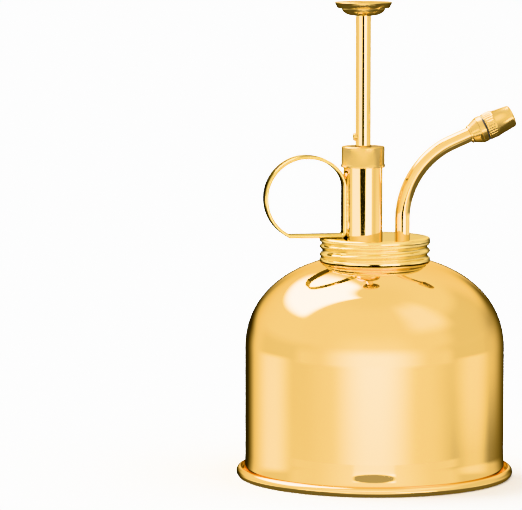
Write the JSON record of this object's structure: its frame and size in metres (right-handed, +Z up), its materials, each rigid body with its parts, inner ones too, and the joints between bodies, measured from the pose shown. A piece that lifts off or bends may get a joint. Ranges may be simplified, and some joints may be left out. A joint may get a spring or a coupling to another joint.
{
  "type": "hand mister",
  "caption": "Bell-shaped brass plant mister: a press-down plunger pump in a screw cap, with a finger ring and a curved spout that ends in a knurled spray nozzle.",
  "frame": {"origin": "centre of the flat base, on the axis of the bottle's neck", "axes": "+Z up along the neck's axis, +X towards the spout, so the finger ring is on the -X side"},
  "size_m": [0.0901, 0.0888, 0.152],
  "materials": {
    "brass_polished": "mirror polished and lacquered",
    "brass_satin": "satin turned",
    "brass_plain": "plain turned, slightly dulled by water",
    "steel": "bright stainless steel",
    "rubber": "black moulded rubber",
    "leather": "oiled leather",
    "solder": "pale solder, wiped smooth"
  },
  "bodies": {
    "bottle": {"bell_body": "brass_polished", "base_plate": "brass_polished", "threaded_neck": "brass_plain"},
    "cap_gasket": {"cap_gasket": "rubber"},
    "pump_head": {"screw_cap": "brass_polished", "pump_barrel": "brass_polished", "barrel_cap": "brass_satin", "buffer_washer": "leather", "finger_ring": "brass_polished", "ring_solder": "solder", "seam_solder": "solder", "spout_tube": "brass_polished", "nozzle_body": "brass_satin", "nozzle_washer": "rubber", "valve_body": "brass_plain", "inlet_pin": "steel", "outlet_pin": "steel", "passage_plug": "brass_plain", "suction_strainer": "brass_plain"},
    "swirl_core": {"swirl_core": "brass_plain"},
    "nozzle_cap": {"nozzle_cap": "brass_satin"},
    "spring_set": {"spring_seat": "brass_plain", "return_spring": "steel"},
    "plunger": {"plunger_button": "brass_satin", "plunger_rod": "brass_polished", "lock_stud": "brass_satin", "piston": "brass_plain", "piston_cup": "leather", "cup_washer": "brass_plain", "piston_nut": "brass_plain"},
    "inlet_ball": {"inlet_ball": "steel"},
    "outlet_ball": {"outlet_ball": "steel"}
  },
  "joints": [
    {"name": "cap_lift", "type": "slide", "parent": "bottle", "child": "cap_gasket", "axis": [0, 0, 1], "range_m": [0, 0.0052]},
    {"name": "cap_turn", "type": "hinge", "parent": "cap_gasket", "child": "pump_head", "pos_m": [0, 0, 0.073], "axis": [0, 0, 1], "range_deg": [0, 720]},
    {"name": "nozzle_lift", "type": "slide", "parent": "pump_head", "child": "swirl_core", "axis": [0.9178, 0, 0.3971], "range_m": [0, 0.00112]},
    {"name": "nozzle_turn", "type": "hinge", "parent": "swirl_core", "child": "nozzle_cap", "pos_m": [0.03059, 0, 0.10933], "axis": [0.9178, 0, 0.3971], "range_deg": [0, 540]},
    {"name": "plunger_twist", "type": "hinge", "parent": "pump_head", "child": "spring_set", "pos_m": [-0.0039, 0, 0.1], "axis": [0, 0, 1], "continuous": true},
    {"name": "plunger_slide", "type": "slide", "parent": "spring_set", "child": "plunger", "axis": [0, 0, -1], "range_m": [0, 0.04], "stiffness_N_per_m": 180, "springref_m": -0.03, "deforming": ["return_spring"]},
    {"name": "inlet_ball_lift", "type": "slide", "parent": "pump_head", "child": "inlet_ball", "axis": [0, 0, 1], "range_m": [0, 0.0015]},
    {"name": "outlet_ball_lift", "type": "slide", "parent": "pump_head", "child": "outlet_ball", "axis": [0, 0, 1], "range_m": [0, 0.0012]}
  ],
  "couplings": [
    {"joint": "cap_turn", "follows": "cap_lift", "rad_per_m": 2416.6},
    {"joint": "nozzle_turn", "follows": "nozzle_lift", "rad_per_m": 8377.6}
  ]
}
